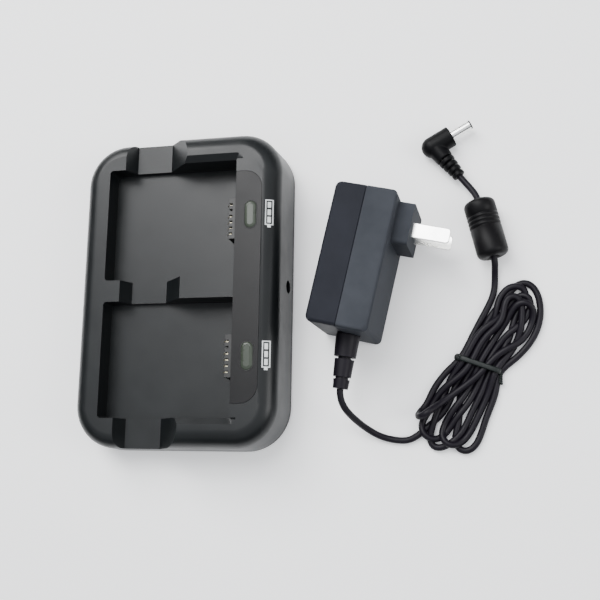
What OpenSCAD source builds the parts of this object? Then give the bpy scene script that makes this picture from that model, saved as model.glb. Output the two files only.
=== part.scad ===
// Two-bay battery charging dock with its mains adapter, captive lead and right-angle DC plug.
// Millimetres, +Z up. The origin is under the middle of dock and adapter together, on the table.

/* [Dock] */
// Width of the dock, across its bays
dock_w = 98; // [97:0.5:100]
// Length of the dock, along its two bays
dock_l = 144; // [143:0.5:146]
// Corner radius of the dock in plan
corner_r = 20; // [19:0.5:21]
// Height of the tall side of the dock
high_z = 28; // [27.5:0.5:29]
// Height of the low arm of the dock
low_z = 22; // [21.5:0.5:22]
// Wall thickness of the dock's shells
wall = 2.2; // [2:0.1:2.4]
// Height of the joint between the lower and upper case
parting_z = 4; // [3.8:0.1:4.2]

/* [Bays] */
// Floor height of both battery bays
bay_z = 12.2; // [12:0.1:12.6]
// Length of a bay along the dock
bay_l = 53; // [52:0.5:53]
// Half the width of the divider between the bays
divider_half = 5; // [5:0.1:5.5]
// Height of the finger channel's floor
channel_z = 15; // [14.5:0.5:15.5]

/* [Contacts] */
// Spacing of the contact blades
contact_pitch = 2.75; // [2.6:0.05:2.8]
// Thickness of a contact blade
blade_t = 0.6; // [0.5:0.05:0.65]
// How far a blade can be pressed in
press_travel = 1.5; // [1:0.1:1.5]

/* [Adapter] */
// Thickness of the mains adapter
adapter_t = 26.8; // [26:0.2:28]
// Length of the mains adapter
adapter_l = 60.9; // [60:0.1:62]
// Width of the mains adapter, its height as it lies
adapter_w = 42; // [41:0.5:43]
// Distance between the two mains blades
mains_pitch = 12.7; // [12.7:0.1:12.8]

/* [Lead] */
// Diameter of the lead
lead_d = 3; // [2.8:0.1:3]
// Diameter of the ferrite's moulded sleeve
ferrite_d = 14; // [13.5:0.5:14]
// Outer diameter of the DC plug's barrel
barrel_d = 4; // [3.9:0.1:4]

/* [Hidden] */

$fn = 48;
cut = 0.05;                     // overshoot of a cutter past the face it opens
fit = 0.1;                      // gap between pieces that are fastened together
dock_x = -37;                   // the dock's middle, so that dock and adapter straddle the origin

// Dock, in its own frame with the origin under its middle
underside_z = 1.2;
floor_z = underside_z + 2;
foot_r = 5;
foot_x = 34;
foot_y = 44;
left_bay_x = -36;
right_bay_x = 28.2;
bay_mid_y = divider_half + bay_l / 2;
bay_floor_t = 2;
divider_z = high_z - 2;
channel_left_x = -28.3;
channel_floor_x = [-25, -8];
channel_right_x = 4.5;
lip_w = 3;
lip_drop = 2;
// Outer profiles of the two heights: [height, inset from the base outline]
high_profile = [[parting_z, 0], [high_z - 6.5, 0.9], [high_z - 4.7, 1.6], [high_z - 3.2, 2.6],
    [high_z - 2, 3.9], [high_z - 1.2, 5.3], [high_z - 0.5, 7], [high_z, 8.7]];
low_profile = [[parting_z, 0], [low_z - 5, 0.7], [low_z - 3.4, 1.35], [low_z - 2.2, 2.3], [low_z - 1.3, 3.4],
    [low_z - 0.7, 4.6], [low_z - 0.25, 6], [low_z, 7.4]];

// Indicator panel and its light guides
panel_x = [right_bay_x, 40.3];
panel_half_l = 52;
panel_t = 1.6;
panel_corner_r = 8;
skin_t = 2;                     // case thickness left under the panel
lens_x = 35.3;
lens_y = 31.6;
lens_l = 12.2;
lens_w = 5.3;
lens_rise = 0.7;

// Board and what it carries
board_z = 4.4;
board_t = 1.6;
board_top = board_z + board_t;
board_x = [3, 44.5];
board_half_l = 54;
board_screw_x = [8, 40.5];
board_screw_y = 48;
case_screw_at = [[-34, 64.5], [38, 62]];
case_boss_r = 3.2;
board_boss_r = 2.6;
screw_head_r = 2.6;
case_shank_r = 1.1;
board_shank_r = 0.9;
jack_y = 1.8;
jack_z = 10;
jack_mouth_r = 3;
jack_bore_r = 2.15;
jack_pin_r = 0.8;
jack_front_x = 46.1;
jack_l = 12.5;

// Contact blocks: places of the five blades, in pitches from the middle of the row
blade_slots = [3, 1, 0, -1, -2];
empty_slot = 2;
contact_shift_y = -0.6;          // of each contact row from the middle of its bay
block_x = [22.6, 31.5];
block_y = [-8, 11.2];
block_top = 20;
block_roof_x = 24.3;            // in front of this the slots are open at the top
blade_z = 16;
blade_nose_r = 2.3;
blade_nose_x = 23.4;
blade_back_x = 28.4;
slot_w = 0.9;
tail_w = 0.6;

// Adapter, in its own frame: x is its thickness, y its length, and it lies on its long side
adapter_at = [46.1, 8.2, 0];
adapter_turn = -12.6;
adapter_wall = 2;
adapter_round = 2.4;
block_base = [18, 27];          // length and height of the plug block
block_mid_y = 18.8;
block_proud = 7;
mains_y = 17.8;
mains_w = 6.35;
mains_t = 1.5;
mains_tip_x = 36.5;
relief_x = 2;
relief_lean = 4.5;              // how far the boot bends towards the plug side
relief_neck_r = 3.6;
// Segments of the boot: [start, end, radius at each]
relief_segments = [[0, 10, 5.3, 4.8], [11, 18.6, 4.3, 3.9], [19.6, 23.6, 3.6, 3.3]];
relief_core_r = 2.8;
mid_z = adapter_w / 2;

// Lead: points of the three free stretches, in the row's frame
lead_r = lead_d / 2;
adapter_route = [[38.07, -45.4, 21], [37.85, -47.7, 20.8], [38.3, -50.6, 19.8], [39.6, -53.6, 17.8],
    [41.4, -56, 14.8], [43.6, -58.4, 11], [46.4, -60.8, 7.2], [49.8, -63.1, 4], [53.3, -64.8, 2.2],
    [57.2, -65.8, 1.6], [61.1, -66.3, 1.5], [65.5, -66.2, 1.5], [69.4, -65.6, 1.5]];
ferrite_route = [[101.2, -7, 1.6], [102.3, -3, 1.5], [103, 1, 1.6], [103.2, 4.5, 2.3],
    [103.3, 8, 4.4], [103.4, 10.6, 6.3], [103.2, 12.9, 7]];
plug_route = [[96.9, 38.8, 7], [96.1, 41.2, 6.6], [94.6, 43.8, 5.8], [92.4, 46.7, 5],
    [90.3, 49.4, 4.85], [88.9, 51.2, 4.85]];

// Hank: middles and radii of its two lobes and its waist, seen from above
hank_top = [114.2, -6.8];
hank_top_r = 9.9;
hank_waist = [95.8, -33.6];
hank_waist_r = 8.8;
hank_low = [82.5, -60];
hank_low_r = 14;
hank_h = 9;
hank_turn = 70;                 // direction of the hank's length
tie_w = 2.4;
tie_t = 1.2;

// Ferrite, from its end nearer the hank
ferrite_at = [103.2, 13, 7];
ferrite_turn = 104;
ferrite_l = 26.4;

// Right-angle plug: elbow's middle, direction of the barrel, and the relief's angle to it
plug_at = [77.6, 66.1, 4.85];
plug_turn = 29.5;
relief_angle = -82.2;
plug_relief_l = 18.7;
elbow_r = 4.8;
elbow_front = 9;
barrel_l = 9.5;
barrel_wall = 0.4;
stem_r = 1.7;

// ---- Shared shapes ----

module rounded_plan(w, l, r) {
    square([w - 2 * r, l], center = true);
    square([w, l - 2 * r], center = true);
    for (x = [-1, 1], y = [-1, 1])
        translate([x * (w / 2 - r), y * (l / 2 - r)]) circle(r);
}

// The dock's plan, drawn in from its base outline
module dock_plan(inset) {
    rounded_plan(dock_w - 2 * inset, dock_l - 2 * inset, corner_r - inset);
}

// A convex solid through a profile of heights and insets, moved in and down by the wall for the inside.
// It starts below the parting, where it is cut off.
module dock_form(profile, inward = 0) {
    base = parting_z - 1 - inward;
    hull()
        for (level = profile)
            translate([0, 0, base])
                linear_extrude(level[0] - inward - base) dock_plan(level[1] + inward);
}

// A prism along the dock from an outline in X and Z
module along_dock(points, length = 160) {
    rotate([90, 0, 0]) linear_extrude(length, center = true) polygon(points);
}

// What the finger channel takes away, grown by a wall for the space under it
module channel(grow = 0) {
    along_dock([[channel_left_x - grow, 50], [channel_left_x - grow, low_z - grow / 2],
        [channel_floor_x[0] - grow * 0.8, channel_z - grow],
        [channel_floor_x[1] + grow * 0.4, channel_z - grow],
        [channel_right_x + grow * 1.1, high_z - grow * 0.2], [channel_right_x + grow * 1.1, 50]]);
}

// The side of the dock that rises to full height beyond the channel's ramp
module tall_side() {
    along_dock([[channel_floor_x[1] - 0.5, 0], [channel_floor_x[1] - 0.5, channel_z],
        [channel_right_x - 0.5, high_z + 1], [60, high_z + 1], [60, 0]]);
}

module both_bays() {
    for (side = [-1, 1]) translate([0, side * bay_mid_y, 0]) children();
}

// Moves its children to one bay's row of contacts
module contact_row(side) {
    translate([0, side * bay_mid_y + contact_shift_y, 0]) children();
}

// One bay's space, from a height up
module bay_space(from_z, grow = 0, r = 1.5) {
    w = right_bay_x - left_bay_x + 2 * grow;
    translate([(right_bay_x + left_bay_x) / 2, 0, from_z])
        linear_extrude(40) rounded_plan(w, bay_l + 2 * grow, r + grow);
}

// The chamfer round a bay on the tall side, apart from the bay's right edge
module bay_lip(side) {
    cleared_y = side > 0 ? -60 : -bay_l / 2;
    difference() {
        hull() {
            translate([0, 0, high_z - lip_drop]) bay_slice(0, 1.5);
            translate([0, 0, high_z + cut]) bay_slice(lip_w, 3.5);
        }
        translate([-60, -60, 0]) cube([60 + channel_right_x - 3, 120, 50]);
        translate([right_bay_x, cleared_y, 0]) cube([30, 60 + bay_l / 2, 50]);
    }
}

module bay_slice(grow, r) {
    w = right_bay_x - left_bay_x + 2 * grow;
    translate([(right_bay_x + left_bay_x) / 2, 0, 0])
        linear_extrude(0.01) rounded_plan(w, bay_l + 2 * grow, r);
}

module oval(l, w, h) {
    linear_extrude(h) {
        square([w, l - w], center = true);
        for (y = [-1, 1]) translate([0, y * (l - w) / 2]) circle(w / 2);
    }
}

// ---- Dock shells ----

module case_screw_places() {
    for (at = case_screw_at, side = [-1, 1]) translate([at[0], side * at[1], 0]) children();
}

module board_screw_places() {
    for (x = board_screw_x, side = [-1, 1]) translate([x, side * board_screw_y, 0]) children();
}

// The space inside the upper case, leaving its walls, the bays' tubs and the screw bosses
module case_space() {
    difference() {
        union() {
            dock_form(low_profile, wall);
            intersection() {
                dock_form(high_profile, wall);
                translate([wall, 0, 0]) tall_side();
            }
        }
        both_bays() bay_space(bay_z - bay_floor_t, wall);
        channel(wall);
        translate([channel_right_x, -divider_half - wall, divider_z - wall])
            cube([right_bay_x, 2 * (divider_half + wall), 10]);
        translate([panel_x[0] - 1, -panel_half_l - wall, high_z - panel_t - skin_t])
            cube([panel_x[1] - panel_x[0] + 3, 2 * (panel_half_l + wall), 10]);
        case_screw_places() cylinder(r = case_boss_r + 0.1, h = 40);
    }
}

module panel_plan(gap) {
    w = panel_x[1] - panel_x[0];
    difference() {
        translate([panel_x[0] - 10 + (w + 10) / 2, 0])
            rounded_plan(w + 10 + 2 * gap, 2 * (panel_half_l + gap), panel_corner_r);
        translate([panel_x[0] - 15, -60]) square([15, 120]);
    }
}

module contact_opening() {
    translate([block_x[0] - 0.2, block_y[0] - 0.2, board_top])
        cube([block_x[1] - block_x[0] + 0.4, block_y[1] - block_y[0] + 0.4, block_top - board_top + 0.2]);
}

module upper_case() {
    color("#2b2e31")
    difference() {
        union() {
            dock_form(low_profile);
            intersection() {
                dock_form(high_profile);
                tall_side();
            }
        }
        translate([0, 0, -wall]) linear_extrude(wall + parting_z) dock_plan(-1);
        channel();
        both_bays() bay_space(bay_z);
        for (side = [-1, 1]) translate([0, side * bay_mid_y, 0]) bay_lip(side);
        translate([channel_right_x - 5, -divider_half - 0.5, divider_z])
            cube([right_bay_x - channel_right_x + 5, 2 * divider_half + 1, 10]);
        case_space();
        translate([0, 0, high_z - panel_t]) linear_extrude(10) panel_plan(fit);
        for (side = [-1, 1])
            translate([lens_x, side * lens_y, 10]) oval(lens_l + 2 * fit, lens_w + 2 * fit, 30);
        for (side = [-1, 1]) contact_row(side) contact_opening();
        translate([40, jack_y, jack_z]) rotate([0, 90, 0]) cylinder(r = jack_mouth_r, h = 20);
        case_screw_places() cylinder(r = case_boss_r + 0.15, h = 6.05);
        case_screw_places() cylinder(r = case_shank_r + 0.05, h = 13);
    }
}

module lower_case() {
    color("#26292c")
    difference() {
        union() {
            translate([0, 0, underside_z]) linear_extrude(floor_z - underside_z) dock_plan(0.1);
            difference() {
                translate([0, 0, underside_z]) linear_extrude(parting_z - underside_z) dock_plan(0.1);
                translate([0, 0, floor_z]) linear_extrude(10) dock_plan(wall + 1.3);
            }
            difference() {
                translate([0, 0, floor_z]) linear_extrude(parting_z + 1.4 - floor_z) dock_plan(wall + 0.15);
                translate([0, 0, floor_z]) linear_extrude(10) dock_plan(wall + 1.3);
            }
            case_screw_places() translate([0, 0, underside_z]) cylinder(r = case_boss_r, h = 4.8);
            board_screw_places()
                translate([0, 0, underside_z]) cylinder(r = board_boss_r, h = board_z - underside_z);
        }
        case_screw_places() cylinder(r = screw_head_r + 0.2, h = 3.2);
        case_screw_places() cylinder(r = case_shank_r + 0.15, h = 10);
        board_screw_places() translate([0, 0, 2]) cylinder(r = board_shank_r + 0.05, h = 10);
        for (x = [-1, 1], y = [-1, 1])
            translate([x * foot_x, y * foot_y, 0]) cylinder(r = foot_r + 0.05, h = underside_z + 0.4);
    }
}

module indicator_panel() {
    color("#33363a")
    difference() {
        translate([0, 0, high_z - panel_t]) linear_extrude(panel_t) panel_plan(0);
        for (side = [-1, 1])
            translate([lens_x, side * lens_y, 10]) oval(lens_l + 2 * fit, lens_w + 2 * fit, 30);
    }
}

// A light guide: domed lens, flange under the case skin and a stem down to its LED
module light_guide(side) {
    skin_z = high_z - panel_t - skin_t;
    color("#7d857c", 0.9)
    translate([lens_x, side * lens_y, 0]) {
        translate([0, 0, skin_z - cut]) oval(lens_l, lens_w, high_z - skin_z + cut);
        hull() {
            translate([0, 0, high_z - 0.1]) oval(lens_l, lens_w, 0.1);
            translate([0, 0, high_z + lens_rise - 0.1]) oval(lens_l - 2.6, lens_w - 2.6, 0.1);
        }
        translate([0, 0, skin_z - 1.2]) oval(lens_l + 2, lens_w + 1.6, 1.15);
        translate([0, 0, board_top + 1.4]) cylinder(r = 2, h = skin_z - board_top - 2);
    }
}

module light_guide_upper() { light_guide(1); }

module light_guide_lower() { light_guide(-1); }

module case_screws() {
    color("#8c8f92")
    case_screw_places() {
        difference() {
            translate([0, 0, 1.5]) cylinder(r = screw_head_r, h = 1.7);
            translate([0, 0, 1.4]) cross_slot(2.6);
        }
        translate([0, 0, 3.1]) cylinder(r = case_shank_r, h = 9);
    }
}

// A cross recess for a screw head
module cross_slot(l) {
    for (turn = [0, 90]) rotate([0, 0, turn]) translate([-l / 2, -0.3, 0]) cube([l, 0.6, 0.9]);
}

module board_screws() {
    color("#9a9da0")
    board_screw_places() {
        difference() {
            translate([0, 0, board_top]) cylinder(r = 1.9, h = 1.3);
            translate([0, 0, board_top + 0.6]) cross_slot(2.2);
        }
        translate([0, 0, 2.2]) cylinder(r = board_shank_r, h = board_top - 2.1);
    }
}

module rubber_feet() {
    color("#17181a")
    for (x = [-1, 1], y = [-1, 1])
        translate([x * foot_x, y * foot_y, 0]) {
            translate([0, 0, 0.3]) cylinder(r = foot_r, h = underside_z + 0.1);
            cylinder(r1 = foot_r - 0.4, r2 = foot_r, h = 0.3);
        }
}

module blank_label() {
    color("#8f9294") translate([-24, -20, underside_z - 0.15]) cube([40, 40, 0.15]);
}

// ---- Board and electronics ----

module tail_places() {
    for (side = [-1, 1], slot = blade_slots)
        contact_row(side) translate([block_x[1] + tail_w / 2, slot * contact_pitch, 0]) children();
}

module main_board() {
    color("#1f5a3a")
    difference() {
        translate([board_x[0], -board_half_l, board_z])
            cube([board_x[1] - board_x[0], 2 * board_half_l, board_t]);
        board_screw_places() cylinder(r = 1.1, h = 20);
        tail_places() translate([0, 0, 5]) cube([tail_w + 0.2, tail_w + 0.2, 10], center = true);
    }
}

module leds() {
    color("#d8dcd2")
    for (side = [-1, 1]) translate([lens_x, side * lens_y, board_top + 0.55]) {
        cube([1.6, 3.2, 1.1], center = true);
        cylinder(r = 0.7, h = 0.7);
    }
}

// A flat chip with legs along two sides
module small_chip(l, w, legs) {
    translate([-w / 2, -l / 2, 0.1]) cube([w, l, 1.4]);
    for (leg = [0 : legs - 1], side = [-1, 1])
        translate([side * (w / 2 + 0.4), (leg - (legs - 1) / 2) * 1.27, 0.3])
            cube([0.8, 0.4, 0.6], center = true);
}

module charge_controllers() {
    color("#1c1c1e") for (side = [-1, 1]) translate([17, side * 22, board_top]) small_chip(4.9, 3.9, 4);
}

module microcontroller() {
    color("#202022") translate([17, -2, board_top]) small_chip(8.7, 5.4, 6);
}

module inductors() {
    color("#3a3b3d")
    for (side = [-1, 1]) translate([12, side * 37, board_top]) difference() {
        translate([-3, -3, 0]) cube([6, 6, 3]);
        translate([0, 0, 2.6]) cylinder(r = 1.6, h = 1);
    }
}

module board_capacitors() {
    color("#b9bcc0")
    for (side = [-1, 1]) translate([39.5, 1.8 + side * 12.5, board_top]) {
        translate([-3.3, -3.3, 0]) cube([6.6, 6.6, 0.8]);
        cylinder(r = 3.1, h = 6.4);
    }
}

module dc_jack_housing() {
    color("#18191b")
    difference() {
        translate([jack_front_x - jack_l, jack_y - 4, board_top]) cube([jack_l, 8, 7.6]);
        translate([jack_front_x - 10, jack_y, jack_z]) rotate([0, 90, 0]) cylinder(r = jack_bore_r, h = 11);
    }
}

module dc_jack_pin() {
    color("#c9ccd0")
    translate([jack_front_x - 10, jack_y, jack_z]) rotate([0, 90, 0]) {
        cylinder(r = jack_pin_r, h = 8.4);
        translate([0, 0, 8.4]) cylinder(r1 = jack_pin_r, r2 = 0.4, h = 0.6);
    }
}

// The insulating block that holds one bay's blades, with a slot for each and one left empty.
// Each slot leaves room for the blade's travel, and its front is open at the top.
module contact_block() {
    front = block_x[0] - 1;
    slot_low = blade_z - blade_nose_r - 0.3;
    color("#121315")
    difference() {
        translate([block_x[0], block_y[0], board_top])
            cube([block_x[1] - block_x[0], block_y[1] - block_y[0], block_top - board_top]);
        for (slot = concat(blade_slots, [empty_slot]))
            translate([front, slot * contact_pitch - slot_w / 2, slot_low]) {
                cube([blade_back_x + press_travel + 0.4 - front, slot_w, 2 * blade_nose_r + 0.6]);
                cube([block_roof_x - front, slot_w, block_top]);
            }
    }
}

module contact_block_upper() { contact_row(1) contact_block(); }

module contact_block_lower() { contact_row(-1) contact_block(); }

// Five blades with rounded noses that stand out of the block into the bay
module contact_blades() {
    color("#d9b45a")
    for (slot = blade_slots)
        translate([0, slot * contact_pitch, 0]) rotate([90, 0, 0]) linear_extrude(blade_t, center = true) {
            translate([blade_nose_x, blade_z]) circle(blade_nose_r);
            translate([blade_nose_x, blade_z - blade_nose_r])
                square([blade_back_x - blade_nose_x, 2 * blade_nose_r]);
        }
}

module contact_blades_upper() { contact_row(1) contact_blades(); }

module contact_blades_lower() { contact_row(-1) contact_blades(); }

module contact_tails() {
    color("#c8a14d")
    for (slot = blade_slots)
        translate([block_x[1], slot * contact_pitch - tail_w / 2, board_z - 0.6]) cube([tail_w, tail_w, 8]);
}

module contact_tails_upper() { contact_row(1) contact_tails(); }

module contact_tails_lower() { contact_row(-1) contact_tails(); }

// ---- Mains adapter ----

// Heights and insets of the adapter's softly rounded long edges
adapter_profile = [[0, 1.5], [0.5, 0.6], [1.6, 0]];

module adapter_form() {
    hull()
        for (level = adapter_profile)
            translate([0, 0, level[0]]) linear_extrude(adapter_w - 2 * level[0])
                rounded_plan(adapter_t - 2 * level[1], adapter_l - 2 * level[1], adapter_round);
}

module adapter_space() {
    translate([-adapter_t / 2 + adapter_wall, -adapter_l / 2 + adapter_wall, adapter_wall])
        cube([adapter_t - 2 * adapter_wall, adapter_l - 2 * adapter_wall, adapter_w - 2 * adapter_wall]);
}

module relief_hole() {
    translate([relief_x, -adapter_l / 2 + 5, mid_z])
        rotate([90, 0, 0]) cylinder(r = relief_neck_r + 0.05, h = 12);
}

module mains_blade_places() {
    for (side = [-1, 1]) translate([0, mains_y, mid_z + side * mains_pitch / 2]) children();
}

// The block that carries the mains blades, its edges rounded where it stands proud
module plug_block() {
    translate([adapter_t / 2 - 1, block_mid_y, mid_z]) rotate([0, 90, 0])
        linear_extrude(block_proud + 1) rounded_plan(block_base[1], block_base[0], 1.6);
}

module adapter_front_case() {
    color("#2d3035")
    difference() {
        union() {
            adapter_form();
            plug_block();
        }
        adapter_space();
        translate([-40, -50, -10]) cube([40.06, 100, 80]);
        relief_hole();
        mains_blade_places()
            translate([20, 0, 0]) cube([40, mains_w + 0.1, mains_t + 0.1], center = true);
    }
}

module adapter_rear_case() {
    color("#24272b")
    difference() {
        adapter_form();
        adapter_space();
        translate([-0.06, -50, -10]) cube([40, 100, 80]);
        relief_hole();
    }
}

// One flat mains blade with a rounded tip
module mains_blade(side) {
    color("#d4d6d8")
    translate([0, mains_y, mid_z + side * mains_pitch / 2 - mains_t / 2]) linear_extrude(mains_t) {
        translate([9.5, -mains_w / 2]) square([mains_tip_x - 9.5 - 1.4, mains_w]);
        translate([mains_tip_x - 2, -mains_w / 2 + 1.4]) square([2, mains_w - 2.8]);
        for (y = [-1, 1]) translate([mains_tip_x - 1.4, y * (mains_w / 2 - 1.4)]) circle(1.4);
    }
}

module mains_blade_line() { mains_blade(1); }

module mains_blade_neutral() { mains_blade(-1); }

module adapter_board() {
    color("#a9803f") translate([-9.6, -27, 4]) cube([1.6, 53, 34]);
}

module transformer_core() {
    color("#2f2f33")
    translate([-7.9, -3, mid_z]) difference() {
        translate([0, -8.5, -8.5]) cube([14, 17, 17]);
        translate([3, -9.5, -6]) cube([8, 19, 12]);
    }
}

module transformer_winding() {
    color("#c9a23a")
    translate([-1, -3, mid_z]) linear_extrude(11.8, center = true) rounded_plan(7.6, 15.6, 2);
}

module adapter_capacitors() {
    color("#3a4a66") {
        translate([-7.9, 19, 9]) rotate([0, 90, 0]) cylinder(r = 5, h = 15);
        translate([-7.9, -20, 31]) rotate([0, 90, 0]) cylinder(r = 4, h = 12);
    }
}

module mains_fuse() {
    color("#6d3b2a") translate([-7.9, 19, 34]) rotate([0, 90, 0]) cylinder(r = 2.2, h = 8);
}

module heat_sink() {
    color("#a7abb0") translate([-7.9, -24, 7]) cube([13, 1.5, 14]);
}

// Ribbed boot: a flange inside the case, a neck through the wall and three tapering segments that
// lean a little. A straight collar under the first segment closes the gap that the lean opens.
module strain_relief() {
    last = relief_segments[len(relief_segments) - 1];
    color("#1b1c20")
    translate([relief_x, -adapter_l / 2, mid_z]) {
        rotate([90, 0, 0]) {
            translate([0, 0, -adapter_wall - 1.6]) cylinder(r = 5, h = 1.5);
            translate([0, 0, -adapter_wall - 0.2]) cylinder(r = relief_neck_r, h = adapter_wall + 1);
            cylinder(r = relief_segments[0][2] - 0.4, h = 1.4);
        }
        rotate([0, 0, relief_lean]) rotate([90, 0, 0]) {
            translate([0, 0, 0.5]) cylinder(r = relief_core_r, h = last[1] - 1);
            for (s = relief_segments)
                translate([0, 0, max(s[0], 0.5)]) cylinder(r1 = s[2], r2 = s[3], h = s[1] - max(s[0], 0.5));
        }
    }
}

// ---- Lead ----

function unit(v) = v / norm(v);

// A point on the smooth curve through four neighbours, t of the way from b to c
function blend(a, b, c, d, t) =
    0.5 * (2 * b + (c - a) * t + (2 * a - 5 * b + 4 * c - d) * t * t + (3 * b - a - 3 * c + d) * t * t * t);

// The route with one more point between each pair
function smooth_route(p) =
    let (last = len(p) - 1)
    [for (i = [0 : 2 * last])
        i % 2 == 0 ? p[i / 2]
            : let (k = floor(i / 2)) blend(p[max(k - 1, 0)], p[k], p[k + 1], p[min(k + 2, last)], 0.5)];

// One ring of a round tube, square to the route at point i
function ring(p, i, r, sides) =
    let (along = unit(p[min(i + 1, len(p) - 1)] - p[max(i - 1, 0)]),
        across = unit(cross(along, [0, 0, 1])),
        up = cross(across, along))
    [for (k = [0 : sides - 1])
        p[i] + r * (cos(360 * (k + 0.5) / sides) * across + sin(360 * (k + 0.5) / sides) * up)];

// A closed tube swept along a route
module tube(route, r, sides = 8) {
    p = smooth_route(route);
    n = len(p);
    points = [for (i = [0 : n - 1]) each ring(p, i, r, sides)];
    walls = [for (i = [0 : n - 2], k = [0 : sides - 1])
        [i * sides + k, i * sides + (k + 1) % sides, (i + 1) * sides + (k + 1) % sides, (i + 1) * sides + k]];
    ends = [[for (k = [sides - 1 : -1 : 0]) k], [for (k = [0 : sides - 1]) (n - 1) * sides + k]];
    polyhedron(points, concat(walls, ends));
}

module cord_adapter_run() { color("#1c1a20") tube(adapter_route, lead_r); }

module cord_ferrite_run() { color("#1c1a20") tube(ferrite_route, lead_r); }

module cord_plug_run() { color("#1c1a20") tube(plug_route, lead_r); }

module hank_frame() {
    translate([hank_waist[0], hank_waist[1], 0]) rotate([0, 0, hank_turn]) children();
}

// The space the tie takes round the hank's waist
module tie_space(grow) {
    hank_frame() difference() {
        translate([-tie_w / 2 - grow, -20, -1]) cube([tie_w + 2 * grow, 40, 20]);
        translate([-5, -hank_waist_r + 0.6 + grow, tie_t + grow])
            cube([10, 2 * (hank_waist_r - 0.6 - grow), hank_h - tie_t - 2 * grow]);
    }
}

// Outer form of the tied hank: two lobes that narrow to the tie
module cord_hank() {
    color("#1c1a20")
    difference() {
        linear_extrude(hank_h) {
            hull() {
                translate(hank_top) circle(hank_top_r, $fn = 32);
                translate(hank_waist) circle(hank_waist_r, $fn = 32);
            }
            hull() {
                translate(hank_low) circle(hank_low_r, $fn = 32);
                translate(hank_waist) circle(hank_waist_r, $fn = 32);
            }
        }
        tie_space(0.05);
    }
}

// Wire tie: a band round the waist, its twisted ends standing out on one side
module cable_tie() {
    color("#202024") {
        hank_frame() difference() {
            translate([-tie_w / 2, -hank_waist_r - 0.6, 0])
                cube([tie_w, 2 * hank_waist_r + 1.2, hank_h + tie_t - 0.6]);
            translate([-5, -hank_waist_r + 0.6, tie_t])
                cube([10, 2 * (hank_waist_r - 0.6), hank_h - tie_t]);
        }
        hank_frame() translate([0, -hank_waist_r - 0.4, 4]) rotate([90, 0, 0]) cylinder(r = 1, h = 3);
    }
}

module ferrite_frame() {
    translate(ferrite_at) rotate([0, 0, ferrite_turn]) rotate([0, 90, 0]) children();
}

module cord_in_ferrite() {
    color("#1c1a20") ferrite_frame() cylinder(r = lead_r, h = ferrite_l);
}

module ferrite_core() {
    color("#3b3b40")
    ferrite_frame() difference() {
        translate([0, 0, 2]) cylinder(r = ferrite_d / 2 - 1.4, h = ferrite_l - 4);
        translate([0, 0, 1]) cylinder(r = 2.4, h = ferrite_l);
    }
}

// Moulded sleeve round the core, with four shallow grooves and softened ends
module ferrite_sleeve() {
    r = ferrite_d / 2;
    color("#1d1c21")
    ferrite_frame() difference() {
        union() {
            cylinder(r1 = r - 1.5, r2 = r, h = 1.5);
            translate([0, 0, 1.5]) cylinder(r = r, h = ferrite_l - 3);
            translate([0, 0, ferrite_l - 1.5]) cylinder(r1 = r, r2 = r - 1.5, h = 1.5);
        }
        translate([0, 0, -1]) cylinder(r = lead_r + 0.05, h = ferrite_l + 2);
        translate([0, 0, 2 - 0.05]) cylinder(r = r - 1.35, h = ferrite_l - 3.9);
        for (groove = [0 : 3])
            translate([0, 0, ferrite_l - 13.2 + groove * 1.9]) difference() {
                cylinder(r = r + 1, h = 0.7);
                cylinder(r = r - 0.4, h = 0.7);
            }
    }
}

module plug_frame() {
    translate(plug_at) rotate([0, 0, plug_turn]) children();
}

// Moulded elbow with a ribbed relief towards the lead
module plug_body() {
    color("#1c1b1f")
    plug_frame() difference() {
        union() {
            rotate([0, 90, 0]) translate([0, 0, -1]) cylinder(r = elbow_r, h = elbow_front + 1);
            translate([-1, 0, 0]) sphere(elbow_r);
            rotate([0, 0, relief_angle]) rotate([0, 90, 0]) {
                cylinder(r1 = elbow_r - 0.2, r2 = elbow_r - 0.8, h = 8);
                cylinder(r = 2.3, h = plug_relief_l);
                for (rib = [0 : 3])
                    translate([0, 0, 8.6 + rib * 2.7]) cylinder(r = 3.8 - rib * 0.3, h = 1.9);
            }
        }
        rotate([0, 90, 0]) translate([0, 0, elbow_front - 3]) cylinder(r = stem_r, h = 10);
    }
}

// The barrel with a thinner stem moulded into the body
module plug_barrel() {
    color("#cfd2d5")
    plug_frame() rotate([0, 90, 0]) translate([0, 0, elbow_front]) difference() {
        union() {
            translate([0, 0, -3]) cylinder(r = stem_r, h = 3.1);
            cylinder(r = barrel_d / 2, h = barrel_l);
        }
        translate([0, 0, 0.5]) cylinder(r = barrel_d / 2 - barrel_wall, h = barrel_l);
    }
}

// Insulating lining, flush at the barrel's tip with a black ring, open for the centre pin
module plug_insulator() {
    color("#111113")
    plug_frame() rotate([0, 90, 0]) translate([0, 0, elbow_front]) difference() {
        union() {
            translate([0, 0, 0.5]) cylinder(r = barrel_d / 2 - barrel_wall, h = barrel_l - 0.4);
            translate([0, 0, barrel_l]) cylinder(r = barrel_d / 2, h = 0.6);
        }
        translate([0, 0, 1]) cylinder(r = 0.85, h = barrel_l + 3);
    }
}

// ---- Assembly ----

module in_dock() { translate([dock_x, 0, 0]) children(); }

module in_adapter() { translate(adapter_at) rotate([0, 0, adapter_turn]) children(); }

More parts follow.
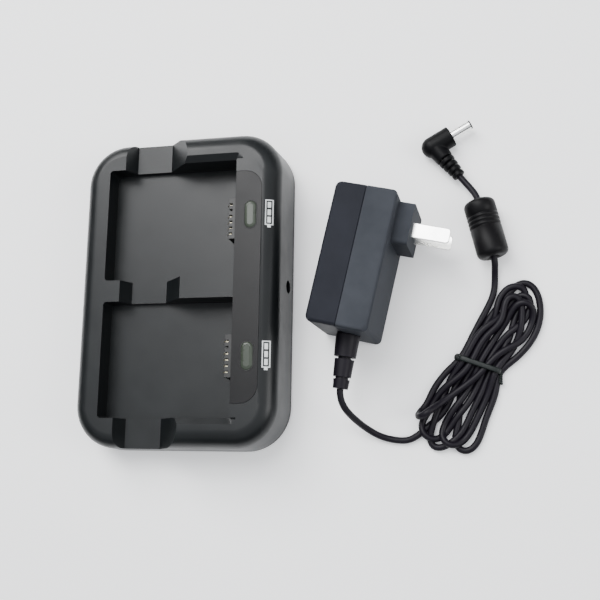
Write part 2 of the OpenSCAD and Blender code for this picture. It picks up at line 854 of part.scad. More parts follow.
in_dock() upper_case();
in_dock() lower_case();
in_dock() indicator_panel();
in_dock() light_guide_upper();
in_dock() light_guide_lower();
in_dock() main_board();
in_dock() leds();
in_dock() charge_controllers();
in_dock() microcontroller();
in_dock() inductors();
in_dock() board_capacitors();
in_dock() dc_jack_housing();
in_dock() dc_jack_pin();
in_dock() contact_block_upper();
in_dock() contact_block_lower();
in_dock() contact_tails_upper();
in_dock() contact_tails_lower();
in_dock() contact_blades_upper();
in_dock() contact_blades_lower();
in_dock() case_screws();
in_dock() board_screws();
in_dock() rubber_feet();
in_dock() blank_label();
in_adapter() adapter_front_case();
in_adapter() adapter_rear_case();
in_adapter() mains_blade_line();
in_adapter() mains_blade_neutral();
in_adapter() adapter_board();
in_adapter() transformer_core();
in_adapter() transformer_winding();
in_adapter() adapter_capacitors();
in_adapter() mains_fuse();
in_adapter() heat_sink();
in_adapter() strain_relief();
cord_adapter_run();
cord_hank();
cable_tie();
cord_ferrite_run();
cord_in_ferrite();
ferrite_core();
ferrite_sleeve();
cord_plug_run();
plug_body();
plug_barrel();
plug_insulator();
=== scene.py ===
"""Two-bay charging dock with its mains adapter, tied lead and right-angle DC plug.

Metres throughout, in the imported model's frame. Lengths that are easier to read in millimetres are
written times MM.
"""

import math

import bmesh
import bpy
import numpy as np
from mathutils import Matrix, Vector
from mathutils.bvhtree import BVHTree


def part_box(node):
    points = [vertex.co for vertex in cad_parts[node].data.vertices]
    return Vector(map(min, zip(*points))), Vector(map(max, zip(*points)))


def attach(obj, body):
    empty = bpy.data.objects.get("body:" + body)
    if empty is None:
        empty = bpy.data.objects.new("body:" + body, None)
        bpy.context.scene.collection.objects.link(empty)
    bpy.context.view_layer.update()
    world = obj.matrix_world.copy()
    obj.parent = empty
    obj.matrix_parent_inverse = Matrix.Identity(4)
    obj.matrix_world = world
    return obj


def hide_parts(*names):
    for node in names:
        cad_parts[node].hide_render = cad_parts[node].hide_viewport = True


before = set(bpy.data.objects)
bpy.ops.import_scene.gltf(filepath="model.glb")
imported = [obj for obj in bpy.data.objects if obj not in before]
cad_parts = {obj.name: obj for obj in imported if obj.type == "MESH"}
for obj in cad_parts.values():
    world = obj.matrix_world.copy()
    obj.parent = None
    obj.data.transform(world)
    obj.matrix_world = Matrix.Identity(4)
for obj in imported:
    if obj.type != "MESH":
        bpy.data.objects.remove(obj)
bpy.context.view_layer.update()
MM = 0.001

# ---- Camera -------------------------------------------------------------------------------------

EYE = Vector((109.4, -78.6, 397.9)) * MM
AIM = Vector((14.9, -2.4, 0.0)) * MM
IMAGE_UP = Vector((-0.016, 1.0, 0.0))
LENS_MM = 53.99
SENSOR_MM = 36.0


def make_camera():
    data = bpy.data.cameras.new("camera")
    data.sensor_width = SENSOR_MM
    data.lens = LENS_MM
    data.clip_start = 0.01
    data.clip_end = 20
    camera = bpy.data.objects.new("camera", data)
    bpy.context.scene.collection.objects.link(camera)
    back = (EYE - AIM).normalized()
    right = IMAGE_UP.cross(back).normalized()
    up = back.cross(right)
    camera.matrix_world = Matrix.Translation(EYE) @ Matrix((right, up, back)).transposed().to_4x4()
    bpy.context.scene.camera = camera


make_camera()

# ---- The lead's route ---------------------------------------------------------------------------

LEAD_D = 3 * MM
# The free stretches, the same points as in the CAD source
ADAPTER_ROUTE = [(38.07, -45.4, 21), (37.85, -47.7, 20.8), (38.3, -50.6, 19.8), (39.6, -53.6, 17.8),
                 (41.4, -56, 14.8), (43.6, -58.4, 11), (46.4, -60.8, 7.2), (49.8, -63.1, 4),
                 (53.3, -64.8, 2.2), (57.2, -65.8, 1.6), (61.1, -66.3, 1.5), (65.5, -66.2, 1.5)]
FERRITE_ROUTE = [(102.3, -3, 1.5), (103, 1, 1.6), (103.2, 4.5, 2.3), (103.3, 8, 4.4),
                 (103.4, 10.6, 6.3), (103.2, 12.9, 7)]
PLUG_ROUTE = [(96.9, 38.8, 7), (96.1, 41.2, 6.6), (94.6, 43.8, 5.8), (92.4, 46.7, 5),
              (90.3, 49.4, 4.85), (88.9, 51.2, 4.85)]

# The last strand, along the hank's edge
EXIT_ROUTE = [(91.6, -23.8, 1.5), (95.8, -15.6, 1.5), (99.8, -8.4, 1.5)]

# Where the lead leaves the table for the hank
ENTRY_ROUTE = [(70.5, -64.0, 1.5), (76.0, -59.0, 1.5), (83.0, -50.0, 1.5)]

# The hank: the middle of its tie, the way it runs, and each fold's middle and radius, in the order wound
TIE_AT = np.array([95.8, -33.6])
HANK_TURN = math.radians(70)
HANK_ALONG = np.array([math.cos(HANK_TURN), math.sin(HANK_TURN)])
HANK_ACROSS = np.array([-HANK_ALONG[1], HANK_ALONG[0]])
TOP_FOLDS = [(114.4, -5.2, 8.0), (112.8, -4.6, 7.0), (114.0, -6.6, 6.6), (112.4, -6.2, 6.2),
             (114.2, -8.4, 6.0)]
LOW_FOLDS = [(88.6, -65.9, 6.6), (77.4, -67.4, 5.4), (74.6, -64.4, 5.2), (82.2, -63.4, 6.0),
             (72.8, -53.2, 4.6)]
FOLD_ANGLES = (100, 66, 33, 0, -33, -66, -100)
FIRST_LAYER, LAYER_RISE, LOW_RISE = 1.6, 1.5, 0.7
# The furthest X and the lowest Y of any strand's middle
HANK_LIMIT = np.array([122.4, -72.4])
# The last low fold stands nearly on its edge
FINGER_TILT = math.radians(68)
# Where each strand passes the tie: across it and above the table
UP_PLACES = [(4.5, 1.5), (1.5, 1.5), (6.0, 4.2), (3.0, 4.2), (0.0, 4.2), (7.5, 1.5)]
DOWN_PLACES = [(-7.5, 1.5), (-4.5, 1.5), (-1.5, 1.5), (-6.0, 4.2), (-3.0, 4.2)]
TIE_HALF_W = 9.0
TIE_TOP = 8.8


def at_tie(place):
    across, height = place
    return [*(TIE_AT + HANK_ACROSS * across), height]


def fold(start, place, end, height, tilt=0.0):
    """Points of one lobe: out from the tie at start, round the fold, and back to the tie at end."""
    middle, radius = np.array(place[:2]), place[2]
    out = middle - TIE_AT
    out = out / np.linalg.norm(out)
    side = np.array([-out[1], out[0]])
    middle_z = height + radius * math.sin(tilt)
    arc = []
    for angle in FOLD_ANGLES:
        a = math.radians(angle)
        level = middle + radius * (math.cos(a) * out + math.sin(a) * math.cos(tilt) * side)
        arc.append([*level, middle_z + radius * math.sin(a) * math.sin(tilt)])
    first = 0.5 * (np.array(start) + np.array(arc[0]))
    last = 0.5 * (np.array(end) + np.array(arc[-1]))
    return [first, *arc, last]


def hank_points():
    points = [at_tie(UP_PLACES[0])]
    for turn, (top, low) in enumerate(zip(TOP_FOLDS, LOW_FOLDS)):
        height = FIRST_LAYER + LAYER_RISE * turn
        down = at_tie(DOWN_PLACES[turn])
        up = at_tie(UP_PLACES[turn + 1])
        points += fold(points[-1], top, down, height)
        points.append(down)
        if turn == len(TOP_FOLDS) - 1:
            points += fold(down, low, up, FIRST_LAYER, FINGER_TILT)
        else:
            points += fold(down, low, up, height + LOW_RISE)
        points.append(up)
    return points


CURVE_SAMPLES = 12


def smooth_line(points, step):
    """A Catmull-Rom curve through the points, sampled about a step apart."""
    p = np.array(points, float)
    p = np.vstack([2 * p[0] - p[1], p, 2 * p[-1] - p[-2]])
    fine = []
    for a, b, c, d in zip(p[:-3], p[1:-2], p[2:-1], p[3:]):
        for t in np.linspace(0, 1, CURVE_SAMPLES, endpoint=False):
            fine.append(0.5 * (2 * b + (c - a) * t + (2 * a - 5 * b + 4 * c - d) * t * t
                               + (3 * b - a - 3 * c + d) * t ** 3))
    fine.append(p[-2])
    return even(np.array(fine), step)


def even(line, step):
    """The same line with its points one step apart."""
    along = np.concatenate([[0], np.cumsum(np.linalg.norm(np.diff(line, axis=0), axis=1))])
    at = np.linspace(0, along[-1], int(round(along[-1] / step)) + 1)
    return np.stack([np.interp(at, along, line[:, k]) for k in range(3)], axis=1)


STEP = 2.4
ROUNDS = 500
SINK = 0.04
EASE = 0.9
# Strands are kept a little more than a diameter apart, and bends wider than a set radius
SPACING = 1.01
BEND_R = 7.0
BEND_SPAN = 0.93
TIED_HALF_L = 2.5


def settle(line, held):
    """Lets the strands push each other apart and sink to the table, at their fixed length."""
    p = line.copy()
    n = len(p)
    d = LEAD_D / MM
    gap = np.linalg.norm(np.diff(p, axis=0), axis=1)
    free = ~held
    index = np.arange(n)
    apart = np.abs(index[:, None] - index[None, :]) >= 4
    weight = free.astype(float)

    def keep_apart(k, rest, only_short):
        a, b = p[:-k], p[k:]
        v = b - a
        length = np.linalg.norm(v, axis=1)
        error = length - rest
        if only_short:
            error = np.minimum(error, 0)
        w = weight[:-k] + weight[k:]
        push = (error / np.maximum(length, 1e-9) / np.maximum(w, 1e-9))[:, None] * v * 0.5
        move = np.zeros_like(p)
        count = np.zeros(n)
        move[:-k] += push * weight[:-k, None] * 2
        move[k:] -= push * weight[k:, None] * 2
        count[:-k] += 1
        count[k:] += 1
        p[:] += move / count[:, None] * EASE

    for _ in range(ROUNDS):
        p[free, 2] -= SINK
        for _ in range(4):
            keep_apart(1, gap, False)
        keep_apart(2, 2 * STEP * math.cos(STEP / 2 / BEND_R), True)
        keep_apart(3, 3 * STEP * BEND_SPAN, True)
        for _ in range(2):
            v = p[:, None, :] - p[None, :, :]
            dist = np.linalg.norm(v, axis=2)
            near = apart & (dist < d * SPACING)
            push = np.where(near, (d * SPACING - dist) / np.maximum(dist, 1e-6), 0)
            count = np.maximum(near.sum(1), 1)
            move = (push[:, :, None] * v).sum(1) / count[:, None] * 0.5
            p[free] += move[free]
        along = (p[:, :2] - TIE_AT) @ HANK_ALONG
        across = (p[:, :2] - TIE_AT) @ HANK_ACROSS
        tied = free & (np.abs(along) < TIED_HALF_L)
        limit = TIE_HALF_W - d / 2
        over = np.where(tied, across - np.clip(across, -limit, limit), 0)
        p[:, :2] -= over[:, None] * HANK_ACROSS
        p[tied, 2] = np.minimum(p[tied, 2], TIE_TOP - d / 2)
        p[free, 2] = np.maximum(p[free, 2], d / 2)
        p[free, 0] = np.minimum(p[free, 0], HANK_LIMIT[0])
        p[free, 1] = np.maximum(p[free, 1], HANK_LIMIT[1])
    return p


SMOOTHING_ROUNDS = 6


def smoothed(line, held):
    """The line with its free points drawn towards their neighbours."""
    p = line.copy()
    for _ in range(SMOOTHING_ROUNDS):
        q = p.copy()
        q[1:-1] = 0.5 * p[1:-1] + 0.25 * (p[:-2] + p[2:])
        p[~held] = q[~held]
    return p


def lead_line():
    """The whole lead's centreline, from the adapter's boot to the plug's relief, in metres."""
    points = [*ADAPTER_ROUTE, *ENTRY_ROUTE, *hank_points(), *EXIT_ROUTE, *FERRITE_ROUTE, *PLUG_ROUTE]
    line = smooth_line(points, STEP)

    def nearest(point):
        return np.linalg.norm(line - np.array(point), axis=1).argmin()

    finger = fold(at_tie(DOWN_PLACES[-1]), LOW_FOLDS[-1], at_tie(UP_PLACES[-1]), FIRST_LAYER, FINGER_TILT)
    held = np.ones(len(line), bool)
    held[nearest(ADAPTER_ROUTE[-1]) + 1:nearest(EXIT_ROUTE[0])] = False
    held[nearest(finger[1]):nearest(finger[-2]) + 1] = True
    line = settle(line, held)
    line = smooth_line(smoothed(line, held), STEP / 2)
    ends = np.zeros(len(line), bool)
    ends[:2] = ends[-2:] = True
    return smoothed(line, ends) * MM


def add_tube(name, line, radius, resolution, body):
    """A round tube along a line. The points carry the thickness, so the curve's box stays close round it."""
    curve = bpy.data.curves.new(name, "CURVE")
    curve.dimensions = "3D"
    curve.bevel_depth = 1
    curve.bevel_resolution = resolution
    curve.use_fill_caps = True
    spline = curve.splines.new("POLY")
    spline.points.add(len(line) - 1)
    spline.use_smooth = True
    for point, at in zip(spline.points, line):
        point.co = (*at, 1)
        point.radius = radius
    tube = bpy.data.objects.new(name, curve)
    bpy.context.scene.collection.objects.link(tube)
    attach(tube, body)
    return tube


lead_path = lead_line()
lead = add_tube("lead", lead_path, LEAD_D / 2, 5, "adapter")
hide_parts("cord_adapter_run", "cord_hank", "cord_ferrite_run", "cord_in_ferrite", "cord_plug_run")

# ---- Materials ----------------------------------------------------------------------------------


MOTTLE_MM, GRAIN_MM, GRAIN_DEPTH_MM = 12, 0.35, 0.05
ROUGHNESS_SPREAD = 0.04


def material(name, colour, roughness, metallic=0.0, mottle=0.12, grain=0.15, gloss=0.5):
    """A moulded or plated surface: two close tones, an uneven gloss and a fine grain."""
    m = bpy.data.materials.new(name)
    m.use_nodes = True
    nodes, links = m.node_tree.nodes, m.node_tree.links
    shader = nodes["Principled BSDF"]
    shader.inputs["Metallic"].default_value = metallic
    shader.inputs["Specular IOR Level"].default_value = gloss
    place = nodes.new("ShaderNodeTexCoord")

    def noise(size_mm, detail):
        n = nodes.new("ShaderNodeTexNoise")
        n.inputs["Scale"].default_value = 1 / (size_mm * MM)
        n.inputs["Detail"].default_value = detail
        links.new(place.outputs["Object"], n.inputs["Vector"])
        return n

    def spread_of(source, low, high):
        r = nodes.new("ShaderNodeMapRange")
        r.inputs["To Min"].default_value = low
        r.inputs["To Max"].default_value = high
        r.inputs["From Min"].default_value = 0.3
        r.inputs["From Max"].default_value = 0.7
        links.new(source, r.inputs["Value"])
        return r.outputs["Result"]

    broad = noise(MOTTLE_MM, 3)
    fine = noise(GRAIN_MM, 2)
    tone = nodes.new("ShaderNodeMix")
    tone.data_type = "RGBA"
    tone.inputs["A"].default_value = (*[c * (1 - mottle) for c in colour], 1)
    tone.inputs["B"].default_value = (*[min(1, c * (1 + mottle)) for c in colour], 1)
    links.new(spread_of(broad.outputs["Fac"], 0, 1), tone.inputs["Factor"])
    links.new(tone.outputs["Result"], shader.inputs["Base Color"])
    uneven = spread_of(broad.outputs["Fac"], roughness - ROUGHNESS_SPREAD, roughness + ROUGHNESS_SPREAD)
    links.new(uneven, shader.inputs["Roughness"])
    if grain:
        bump = nodes.new("ShaderNodeBump")
        bump.inputs["Strength"].default_value = grain
        bump.inputs["Distance"].default_value = GRAIN_DEPTH_MM * MM
        links.new(fine.outputs["Fac"], bump.inputs["Height"])
        links.new(bump.outputs["Normal"], shader.inputs["Normal"])
    return m


DOCK = material("dock_plastic", (0.0042, 0.0052, 0.0058), 0.36, grain=0.2, gloss=0.29)
BASE = material("base_plastic", (0.0045, 0.0046, 0.0060), 0.5, grain=0.2, gloss=0.2)
PANEL = material("panel_plastic", (0.0052, 0.0050, 0.0055), 0.36, grain=0.1, gloss=0.19)
LENS = material("lens", (0.030, 0.038, 0.027), 0.30, grain=0.0, gloss=0.32)
PRINT = material("white_print", (0.62, 0.64, 0.64), 0.5, grain=0.05)
# Front case: its own dark grey lightened to about twice the rear case's, as painted sheen standing in for the
# gloss kept near nil
ADAPTER_FRONT_AND_SHEEN = material("adapter_front_plastic", (0.0380, 0.0410, 0.0480), 0.42, grain=0.12, gloss=0.004)
ADAPTER_REAR = material("adapter_rear_plastic", (0.0170, 0.0180, 0.0230), 0.42, grain=0.12, gloss=0.02)
CORD = material("cord_rubber", (0.0046, 0.0034, 0.0064), 0.46, grain=0.1, gloss=0.17)
SLEEVE = material("sleeve_rubber", (0.0030, 0.0028, 0.0034), 0.46, grain=0.15, gloss=0.13)
PLUG = material("plug_rubber", (0.0026, 0.0026, 0.0032), 0.46, grain=0.15, gloss=0.10)
TIE = material("tie_plastic", (0.0035, 0.0060, 0.0055), 0.45, gloss=0.25)
NICKEL = material("nickel", (0.95, 0.95, 0.93), 0.25, metallic=1.0, mottle=0.04, grain=0.05)
GOLD = material("gold", (0.95, 0.86, 0.62), 0.30, metallic=1.0, mottle=0.05, grain=0.05)
# Near-black plastic of the contact blocks; the lens rims use it too, and there it is painted shade
BLOCK_AND_RIM_SHADE = material("block_plastic", (0.0035, 0.0035, 0.0035), 0.5)
STEEL = material("screw_steel", (0.50, 0.51, 0.53), 0.3, metallic=1.0)
FOOT = material("foot_rubber", (0.008, 0.008, 0.009), 0.75, grain=0.5)
FOIL = material("label_foil", (0.33, 0.34, 0.35), 0.4, mottle=0.05)
BOARD = material("board_green", (0.02, 0.13, 0.06), 0.35)
CHIP = material("chip", (0.008, 0.008, 0.009), 0.55)
CERAMIC = material("ferrite_grey", (0.02, 0.02, 0.021), 0.6)
CAN = material("capacitor_can", (0.74, 0.75, 0.77), 0.28, metallic=1.0)
TAN = material("board_tan", (0.42, 0.27, 0.11), 0.5)
COPPER = material("winding_copper", (0.72, 0.40, 0.16), 0.3, metallic=0.8)
SHRINK = material("capacitor_sleeve", (0.04, 0.06, 0.13), 0.3)
FUSE = material("fuse_body", (0.18, 0.06, 0.035), 0.35)
SINK = material("sink_aluminium", (0.68, 0.69, 0.70), 0.35, metallic=1.0)
LED = material("led_white", (0.75, 0.78, 0.70), 0.25)
JACK = material("jack_plastic", (0.004, 0.004, 0.004), 0.3)
INSULATOR = material("insulator_plastic", (0.003, 0.003, 0.003), 0.35)

FINISH = {
    "upper_case": DOCK, "lower_case": BASE, "indicator_panel": PANEL, "light_guide_upper": LENS,
    "light_guide_lower": LENS, "main_board": BOARD, "leds": LED, "charge_controllers": CHIP,
    "microcontroller": CHIP, "inductors": CERAMIC, "board_capacitors": CAN, "dc_jack_housing": JACK,
    "dc_jack_pin": NICKEL, "contact_block_upper": BLOCK_AND_RIM_SHADE, "contact_block_lower": BLOCK_AND_RIM_SHADE,
    "contact_tails_upper": GOLD, "contact_tails_lower": GOLD, "contact_blades_upper": GOLD,
    "contact_blades_lower": GOLD, "case_screws": STEEL, "board_screws": STEEL, "rubber_feet": FOOT,
    "blank_label": FOIL, "adapter_front_case": ADAPTER_FRONT_AND_SHEEN, "adapter_rear_case": ADAPTER_REAR,
    "mains_blade_line": NICKEL, "mains_blade_neutral": NICKEL, "adapter_board": TAN,
    "transformer_core": CERAMIC, "transformer_winding": COPPER, "adapter_capacitors": SHRINK,
    "mains_fuse": FUSE, "heat_sink": SINK, "strain_relief": CORD, "cable_tie": TIE,
    "ferrite_core": CERAMIC, "ferrite_sleeve": SLEEVE, "plug_body": PLUG, "plug_barrel": NICKEL,
    "plug_insulator": INSULATOR,
}
for node, finish in FINISH.items():
    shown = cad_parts[node]
    shown.data.materials.clear()
    shown.data.materials.append(finish)
lead.data.materials.append(CORD)

# ---- Softened edges -----------------------------------------------------------------------------

# Width in millimetres of the rounding on each piece's edges
SOFT_EDGES = {
    "upper_case": 0.45, "lower_case": 0.3, "indicator_panel": 0.2, "adapter_front_case": 0.8,
    "adapter_rear_case": 0.8, "contact_block_upper": 0.15, "contact_block_lower": 0.15,
    "contact_blades_upper": 0.1, "contact_blades_lower": 0.1, "mains_blade_line": 0.3,
    "mains_blade_neutral": 0.3, "strain_relief": 0.3, "dc_jack_housing": 0.2, "rubber_feet": 0.2,
    "transformer_core": 0.3, "adapter_capacitors": 0.4, "board_capacitors": 0.3, "plug_barrel": 0.1,
}


def soften(piece, width_mm):
    """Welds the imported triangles, joins flat ones into faces and rounds the edges between faces."""
    weld = piece.modifiers.new("weld", "WELD")
    weld.merge_threshold = 0.002 * MM
    flat = piece.modifiers.new("flat", "DECIMATE")
    flat.decimate_type = "DISSOLVE"
    flat.angle_limit = math.radians(1)
    bevel = piece.modifiers.new("bevel", "BEVEL")
    bevel.width = width_mm * MM
    bevel.segments = 3
    bevel.limit_method = "ANGLE"
    bevel.angle_limit = math.radians(32)
    bevel.harden_normals = True
    normals = piece.modifiers.new("normals", "WEIGHTED_NORMAL")
    normals.keep_sharp = True


for node, width in SOFT_EDGES.items():
    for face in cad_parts[node].data.polygons:
        face.use_smooth = True
    soften(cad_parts[node], width)

# ---- Pieces made here ---------------------------------------------------------------------------


def add_mesh(name, vertices, faces, finish, body, slot):
    mesh = bpy.data.meshes.new(name)
    mesh.from_pydata([tuple(v) for v in vertices], [], faces)
    mesh.validate()
    shape = bmesh.new()
    shape.from_mesh(mesh)
    bmesh.ops.recalc_face_normals(shape, faces=shape.faces)
    shape.to_mesh(mesh)
    shape.free()
    for face in mesh.polygons:
        face.use_smooth = True
    mesh.materials.append(finish)
    piece = bpy.data.objects.new(name, mesh)
    bpy.context.scene.collection.objects.link(piece)
    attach(piece, body)
    return piece


def ring_faces(rings, sides):
    """Quads between neighbouring rings of the same number of points."""
    return [(i * sides + k, i * sides + (k + 1) % sides,
             (i + 1) * sides + (k + 1) % sides, (i + 1) * sides + k)
            for i in range(rings - 1) for k in range(sides)]


def closing_faces(rings, sides):
    """Quads from the last ring back to the first."""
    last = (rings - 1) * sides
    return [(last + k, last + (k + 1) % sides, (k + 1) % sides, k) for k in range(sides)]


def lathe(base, along, profile, sides=64):
    """Points and faces of a shape turned about a line, from heights and radii in metres."""
    along = Vector(along).normalized()
    across = along.orthogonal().normalized()
    third = along.cross(across)
    points = []
    for height, radius in profile:
        for k in range(sides):
            a = 2 * math.pi * k / sides
            outward = math.cos(a) * across + math.sin(a) * third
            points.append(Vector(base) + along * height + radius * outward)
    return points, ring_faces(len(profile), sides)


# Ferrite sleeve: rounded ends, dished round the lead, with shallow rounded grooves
FERRITE_AT = Vector((103.2, 13, 7)) * MM
FERRITE_TURN = math.radians(104)
FERRITE_ALONG = Vector((math.cos(FERRITE_TURN), math.sin(FERRITE_TURN), 0))
FERRITE_L = 26.4
FERRITE_R = 6.98
FERRITE_ROUND = 2.6
GROOVE_STARTS = [FERRITE_L - 13.2 + 1.9 * k for k in range(4)]
# Each groove's section: how far along it, and how deep
GROOVE = [(0, 0), (0.18, 0.28), (0.45, 0.42), (0.72, 0.28), (0.9, 0)]


def ferrite_profile():
    flank = [(0.9, 1.56), (0.5, 2.0), (0.1, 2.6), (0, 3.2)]
    corner = [(FERRITE_ROUND * (1 - math.sin(a)), FERRITE_R - FERRITE_ROUND * (1 - math.cos(a)))
              for a in np.radians(np.linspace(90, 0, 9))]
    start = flank + corner
    grooves = []
    for z in GROOVE_STARTS:
        grooves += [(z + along, FERRITE_R - deep) for along, deep in GROOVE]
    end = [(FERRITE_L - z, r) for z, r in reversed(start)]
    return [(z * MM, r * MM) for z, r in start + grooves + end]


ferrite_shape = lathe(FERRITE_AT, FERRITE_ALONG, ferrite_profile())
ferrite = add_mesh("ferrite", *ferrite_shape, SLEEVE, "adapter", "sleeve_rubber")
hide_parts("ferrite_sleeve")

# Wire tie round the hank's waist: a flat band with a knot on one side and twisted ends on the other
TIE_OUT = Vector((*HANK_ACROSS, 0))
TIE_ALONG = Vector((*HANK_ALONG, 0))
TIE_MIDDLE = Vector((*TIE_AT, 0)) * MM
BAND_W, BAND_T = 2.2 * MM, 0.7 * MM
# The band's section: to which side and how high, in half widths and thicknesses
BAND_SECTION = ((-1, 0), (-1, 0.7), (-0.6, 0.875), (0.6, 0.875), (1, 0.7), (1, 0))
BAND_STEPS = 56
# Below one, the band's loop is squarer than an oval
BAND_SQUARE = 0.42
KNOT_L, KNOT_R = 3.4 * MM, 1.5 * MM
TWIST_L, TWIST_R, TWIST_STEPS, TWIST_TURN_STEPS = 5.2 * MM, 0.55 * MM, 36, 14
TWIST_OFF = 0.5 * MM
TIE_GAP = 0.05 * MM
# How far out from the hank and how high the knot and the twist sit, and how the twist slants
KNOT_OUT, KNOT_UP = 0.9 * MM, 2.6 * MM
TWIST_OUT, TWIST_UP, TWIST_SLANT = 0.3 * MM, 2.4 * MM, 0.35


def tie_height(path):
    """How high the strands stand where the band crosses them."""
    flat = (path[:, :2] / MM - TIE_AT)
    near = (np.abs(flat @ HANK_ALONG) < 2) & (np.abs(flat @ HANK_ACROSS) < TIE_HALF_W)
    return float(path[near, 2].max()) + LEAD_D / 2


def make_tie():
    half_w = TIE_HALF_W * MM + TIE_GAP
    low, high = TIE_GAP, tie_height(lead_path)
    half_h = (high - low) / 2
    points = []
    for i in range(BAND_STEPS):
        a = 2 * math.pi * i / BAND_STEPS
        c, n = math.cos(a), math.sin(a)
        x = half_w * math.copysign(abs(c) ** BAND_SQUARE, c)
        z = half_h * math.copysign(abs(n) ** BAND_SQUARE, n)
        out = (TIE_OUT * c * half_h + Vector((0, 0, 1)) * n * half_w).normalized()
        centre = TIE_MIDDLE + TIE_OUT * x + Vector((0, 0, low + half_h + z))
        # flat where it lies on the table
        lift = BAND_T if n > -0.2 else 0.0
        for side, rise in BAND_SECTION:
            points.append(centre + TIE_ALONG * side * BAND_W / 2 + out * rise * lift)
    sides = len(BAND_SECTION)
    faces = ring_faces(BAND_STEPS, sides) + closing_faces(BAND_STEPS, sides)
    band = add_mesh("tie_band", points, faces, TIE, "adapter", "tie_plastic")
    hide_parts("cable_tie")

    knot_at = TIE_MIDDLE + TIE_OUT * (half_w + KNOT_OUT) + Vector((0, 0, KNOT_UP))
    knot_profile = [(KNOT_L * t, KNOT_R * math.sqrt(max(1e-4, 1 - (2 * t - 1) ** 2)))
                    for t in np.linspace(0, 1, 15)]
    knot = lathe(knot_at - TIE_ALONG * KNOT_L / 2, TIE_ALONG, knot_profile, 24)
    add_mesh("tie_knot", *knot, TIE, "adapter", "tie_plastic")

    start = TIE_MIDDLE - TIE_OUT * (half_w + TWIST_OUT) + Vector((0, 0, TWIST_UP))
    heading = (-TIE_OUT * TWIST_SLANT - TIE_ALONG).normalized()
    sideways = heading.cross(Vector((0, 0, 1)))
    for strand in (0, 1):
        line = []
        for i in range(TWIST_STEPS + 1):
            a = math.pi * strand + 2 * math.pi * i / TWIST_TURN_STEPS
            swing = math.cos(a) * sideways + math.sin(a) * Vector((0, 0, 1))
            line.append(start + heading * (TWIST_L * i / TWIST_STEPS) + TWIST_OFF * swing)
        twist = add_tube("tie_twist_%d" % strand, line, TWIST_R, 3, "adapter")
        twist.data.materials.append(TIE)


make_tie()

# Lenses: a smooth dome over each light guide and a thin raised rim round it, coloured near black as painted
# shade for the gap at the lens's edge
LENS_L, LENS_W, LENS_RISE = 12.2 * MM, 5.3 * MM, 0.69 * MM
LENS_SIDES = 48
SHADE_RIM_SIDES = 8
SHADE_RIM_W, SHADE_RIM_H = 0.44 * MM, 0.16 * MM


def oval_ring(length, width):
    """Points of a straight-sided oval, its length along Y."""
    half = (length - width) / 2
    ring = []
    for k in range(LENS_SIDES):
        a = 2 * math.pi * (k + 0.5) / LENS_SIDES
        ring.append((math.cos(a) * width / 2, math.sin(a) * width / 2 + math.copysign(half, math.sin(a))))
    return ring


def make_lens(name, guide):
    low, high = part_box(guide)
    x, y = (low[0] + high[0]) / 2, (low[1] + high[1]) / 2
    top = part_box("indicator_panel")[1][2]
    points = []
    # heights above the panel, each with how far the dome has drawn in
    levels = [(-0.3 * MM, 0.0)]
    levels += [(LENS_RISE * math.sin(a) + 0.01 * MM, 1 - math.cos(a))
               for a in np.radians(np.linspace(0, 88, 10))]
    for height, inset in levels:
        shrink = inset * LENS_W * 0.98
        points += [(x + u, y + v, top + height) for u, v in oval_ring(LENS_L - shrink, LENS_W - shrink)]
    faces = ring_faces(len(levels), LENS_SIDES) + [tuple(range(len(points) - LENS_SIDES, len(points)))]
    add_mesh("dome_" + name, points, faces, LENS, "dock", "lens")
    # The rim is coloured near black as painted shade, in place of the shade that falls in the gap round the
    # lens
    shade_rim_points = []
    for k in range(SHADE_RIM_SIDES):
        a = 2 * math.pi * k / SHADE_RIM_SIDES
        grow = SHADE_RIM_W * (1 + math.cos(a))
        shade_rim_points += [(x + u, y + v, top + SHADE_RIM_H * math.sin(a)) for u, v in oval_ring(LENS_L + grow, LENS_W + grow)]
    faces = ring_faces(SHADE_RIM_SIDES, LENS_SIDES) + closing_faces(SHADE_RIM_SIDES, LENS_SIDES)
    add_mesh("shade_rim_" + name, shade_rim_points, faces, BLOCK_AND_RIM_SHADE, "dock", "block_plastic")
    return x, y


LENS_AT = [make_lens("upper", "light_guide_upper"), make_lens("lower", "light_guide_lower")]

# Printed sign by each lens: a battery with three bars, laid on the case's rolled edge
SIGN_OUT = 8.35 * MM
# Rectangles of the sign in millimetres: from and to down the dock, then from and to outwards
SIGN_BOXES = [
    (-6.6, 5.0, -1.7, -1.25), (-6.6, 5.0, 1.25, 1.7), (-6.6, -6.15, -1.25, 1.25), (4.55, 5.0, -1.25, 1.25),
    (5.0, 6.1, -0.7, 0.7), (-5.5, -2.9, -0.7, 0.7), (-2.1, 0.5, -0.7, 0.7), (1.3, 3.9, -0.7, 0.7),
]


# The largest cell down the dock and outwards, and how thick the print is, in millimetres
SIGN_CELL = (0.45, 0.25)
SIGN_T = 0.03


def make_sign(name, x, y):
    """Lays the sign on the case beside the lens at x, y."""
    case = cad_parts["upper_case"].data
    surface = BVHTree.FromPolygons([v.co[:] for v in case.vertices], [p.vertices[:] for p in case.polygons])
    points, faces = [], []
    for down_from, down_to, out_from, out_to in SIGN_BOXES:
        rows = max(2, math.ceil((down_to - down_from) / SIGN_CELL[0]))
        columns = max(2, math.ceil((out_to - out_from) / SIGN_CELL[1]))
        first = len(points)
        for down in np.linspace(down_from, down_to, rows + 1):
            for out in np.linspace(out_from, out_to, columns + 1):
                at = Vector((x + SIGN_OUT + out * MM, y - down * MM, 0.1))
                hit = surface.ray_cast(at, Vector((0, 0, -1)))[0]
                points.append(hit + Vector((0, 0, SIGN_T * MM)))
        for i in range(rows):
            for j in range(columns):
                k = first + i * (columns + 1) + j
                faces.append((k, k + 1, k + columns + 2, k + columns + 1))
    add_mesh("sign_" + name, points, faces, PRINT, "dock", "led_white")


for name, (x, y) in zip(("upper", "lower"), LENS_AT):
    make_sign(name, x, y)

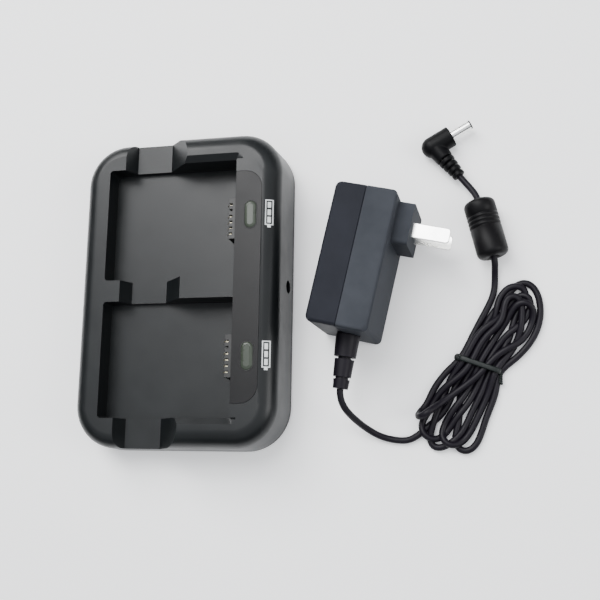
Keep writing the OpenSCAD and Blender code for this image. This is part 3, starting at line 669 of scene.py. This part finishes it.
# The plug's body: the CAD's own shape, remeshed and smoothed into one moulding
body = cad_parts["plug_body"]
for face in body.data.polygons:
    face.use_smooth = True
remesh = body.modifiers.new("remesh", "REMESH")
remesh.mode = "VOXEL"
remesh.voxel_size = 0.28 * MM
remesh.use_smooth_shade = True
relax = body.modifiers.new("relax", "SMOOTH")
relax.factor = 0.5
relax.iterations = 4

# ---- Stage --------------------------------------------------------------------------------------


FLOOR_DROP = 0.1 * MM


def make_stage():
    mesh = bpy.data.meshes.new("floor")
    grid = bmesh.new()
    bmesh.ops.create_grid(grid, x_segments=1, y_segments=1, size=3)
    grid.to_mesh(mesh)
    grid.free()
    floor = bpy.data.objects.new("floor", mesh)
    floor.location.z = -FLOOR_DROP
    bpy.context.scene.collection.objects.link(floor)
    paper = bpy.data.materials.new("paper")
    paper.use_nodes = True
    shader = paper.node_tree.nodes["Principled BSDF"]
    shader.inputs["Base Color"].default_value = (0.95, 0.95, 0.95, 1)
    shader.inputs["Roughness"].default_value = 0.9
    shader.inputs["Emission Color"].default_value = (0.98, 0.98, 1.0, 1)
    shader.inputs["Emission Strength"].default_value = 0.25
    mesh.materials.append(paper)


def add_light(name, at, aim, size, power):
    data = bpy.data.lights.new(name, "AREA")
    data.shape = "DISK"
    data.size = size
    data.energy = power
    lamp = bpy.data.objects.new(name, data)
    lamp.location = at
    lamp.rotation_mode = "QUATERNION"
    lamp.rotation_quaternion = (Vector(aim) - Vector(at)).to_track_quat("-Z", "Y")
    bpy.context.scene.collection.objects.link(lamp)


make_stage()
add_light("key", (-0.5, 0.7, 0.8), (0, 0, 0), 0.7, 14)
add_light("side", (0.95, -0.1, 0.6), (0, 0, 0), 0.6, 6)
add_light("top", (-0.10, 0.36, 1.0), (0.06, 0, 0), 0.5, 7)


def make_world():
    """A studio that is bright overhead and dim at the sides."""
    world = bpy.data.worlds.new("studio")
    world.use_nodes = True
    nodes, links = world.node_tree.nodes, world.node_tree.links
    place = nodes.new("ShaderNodeTexCoord")
    split = nodes.new("ShaderNodeSeparateXYZ")
    ramp = nodes.new("ShaderNodeMapRange")
    ramp.interpolation_type = "SMOOTHSTEP"
    ramp.inputs["From Min"].default_value = 0.3
    ramp.inputs["From Max"].default_value = 1.0
    ramp.inputs["To Min"].default_value = 0.08
    ramp.inputs["To Max"].default_value = 1.6
    links.new(place.outputs["Generated"], split.inputs["Vector"])
    links.new(split.outputs["Z"], ramp.inputs["Value"])
    background = nodes["Background"]
    background.inputs["Color"].default_value = (0.93, 0.96, 1.0, 1)
    links.new(ramp.outputs["Result"], background.inputs["Strength"])
    bpy.context.scene.world = world


make_world()
